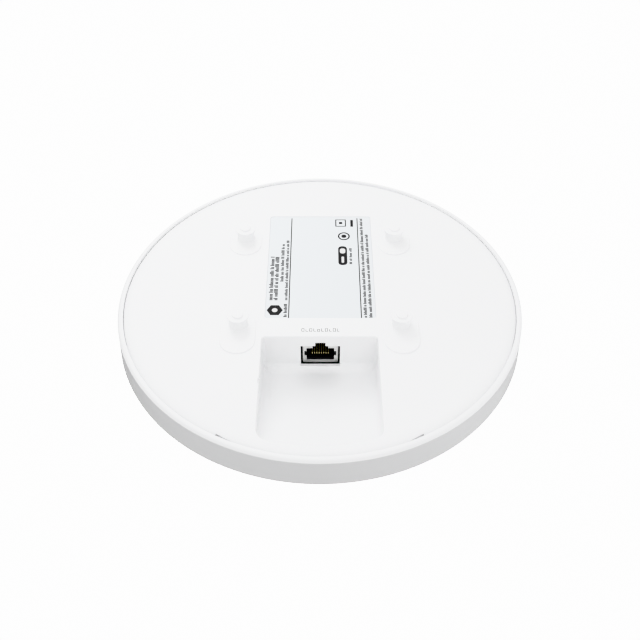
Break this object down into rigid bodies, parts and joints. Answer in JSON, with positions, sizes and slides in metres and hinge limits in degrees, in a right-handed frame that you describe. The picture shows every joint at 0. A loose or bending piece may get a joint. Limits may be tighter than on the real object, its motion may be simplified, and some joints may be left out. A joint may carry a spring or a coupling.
{
  "type": "ceiling access point",
  "caption": "Round indoor wireless access point for a ceiling, with mushroom mounting studs on its back and a network socket in a recessed cable bay.",
  "frame": {"origin": "on the housing's axis at its front face, the lowest face of the part", "axes": "+Z along the housing's axis towards the ceiling; the cable bay opens towards -Y"},
  "size_m": [0.1816, 0.1816, 0.035],
  "materials": {
    "white_plastic": "fine satin moulded polycarbonate",
    "label_film": "matte printed film",
    "tin_plate": "satin tin plating",
    "black_plastic": "moulded glass-filled nylon",
    "gold": "polished gold plating",
    "circuit_board": "green solder mask",
    "chip": "matte moulded package",
    "ferrite": "fired ferrite",
    "capacitor_can": "drawn can",
    "aluminium": "extruded, plain",
    "thermal_pad": "soft silicone",
    "steel": "zinc plated",
    "clear_plastic": "clear moulded"
  },
  "bodies": {
    "housing": {"front_cover": "white_plastic", "rear_cover": "white_plastic", "rating_label": "label_film", "jack_shield": "tin_plate", "jack_insulator": "black_plastic", "main_board": "circuit_board", "board_screw_1": "steel", "board_screw_2": "steel", "board_screw_3": "steel", "board_screw_4": "steel", "ethernet_transformer": "black_plastic", "ethernet_phy": "chip", "poe_input_bridge_1": "chip", "poe_input_bridge_2": "chip", "poe_controller": "chip", "poe_switch": "chip", "input_capacitor": "capacitor_can", "poe_transformer": "ferrite", "output_inductor": "ferrite", "output_capacitor_1": "capacitor_can", "output_capacitor_2": "capacitor_can", "main_processor": "chip", "processor_thermal_pad": "thermal_pad", "memory_chip_1": "chip", "memory_chip_2": "chip", "flash_chip": "chip", "radio_chip_1": "chip", "radio_can_1": "tin_plate", "can_thermal_pad_1": "thermal_pad", "radio_chip_2": "chip", "radio_can_2": "tin_plate", "can_thermal_pad_2": "thermal_pad", "heat_sink": "aluminium", "heat_sink_screw_1": "steel", "heat_sink_screw_2": "steel", "antenna_1": "tin_plate", "antenna_2": "tin_plate", "antenna_3": "tin_plate", "antenna_4": "tin_plate", "status_led": "clear_plastic", "led_light_pipe": "clear_plastic"},
    "contact_1": {"jack_contact_1": "gold"},
    "contact_2": {"jack_contact_2": "gold"},
    "contact_3": {"jack_contact_3": "gold"},
    "contact_4": {"jack_contact_4": "gold"},
    "contact_5": {"jack_contact_5": "gold"},
    "contact_6": {"jack_contact_6": "gold"},
    "contact_7": {"jack_contact_7": "gold"},
    "contact_8": {"jack_contact_8": "gold"}
  },
  "joints": [
    {"name": "contact_1_press", "type": "hinge", "parent": "housing", "child": "contact_1", "pos_m": [-0.00332, -0.0194, 0.01195], "axis": [-1, 0, 0], "range_deg": [0, 8], "stiffness_Nm_per_rad": 0.0025},
    {"name": "contact_2_press", "type": "hinge", "parent": "housing", "child": "contact_2", "pos_m": [-0.0023, -0.0194, 0.01195], "axis": [-1, 0, 0], "range_deg": [0, 8], "stiffness_Nm_per_rad": 0.0025},
    {"name": "contact_3_press", "type": "hinge", "parent": "housing", "child": "contact_3", "pos_m": [-0.00128, -0.0194, 0.01195], "axis": [-1, 0, 0], "range_deg": [0, 8], "stiffness_Nm_per_rad": 0.0025},
    {"name": "contact_4_press", "type": "hinge", "parent": "housing", "child": "contact_4", "pos_m": [-0.00026, -0.0194, 0.01195], "axis": [-1, 0, 0], "range_deg": [0, 8], "stiffness_Nm_per_rad": 0.0025},
    {"name": "contact_5_press", "type": "hinge", "parent": "housing", "child": "contact_5", "pos_m": [0.00076, -0.0194, 0.01195], "axis": [-1, 0, 0], "range_deg": [0, 8], "stiffness_Nm_per_rad": 0.0025},
    {"name": "contact_6_press", "type": "hinge", "parent": "housing", "child": "contact_6", "pos_m": [0.00178, -0.0194, 0.01195], "axis": [-1, 0, 0], "range_deg": [0, 8], "stiffness_Nm_per_rad": 0.0025},
    {"name": "contact_7_press", "type": "hinge", "parent": "housing", "child": "contact_7", "pos_m": [0.0028, -0.0194, 0.01195], "axis": [-1, 0, 0], "range_deg": [0, 8], "stiffness_Nm_per_rad": 0.0025},
    {"name": "contact_8_press", "type": "hinge", "parent": "housing", "child": "contact_8", "pos_m": [0.00382, -0.0194, 0.01195], "axis": [-1, 0, 0], "range_deg": [0, 8], "stiffness_Nm_per_rad": 0.0025}
  ]
}
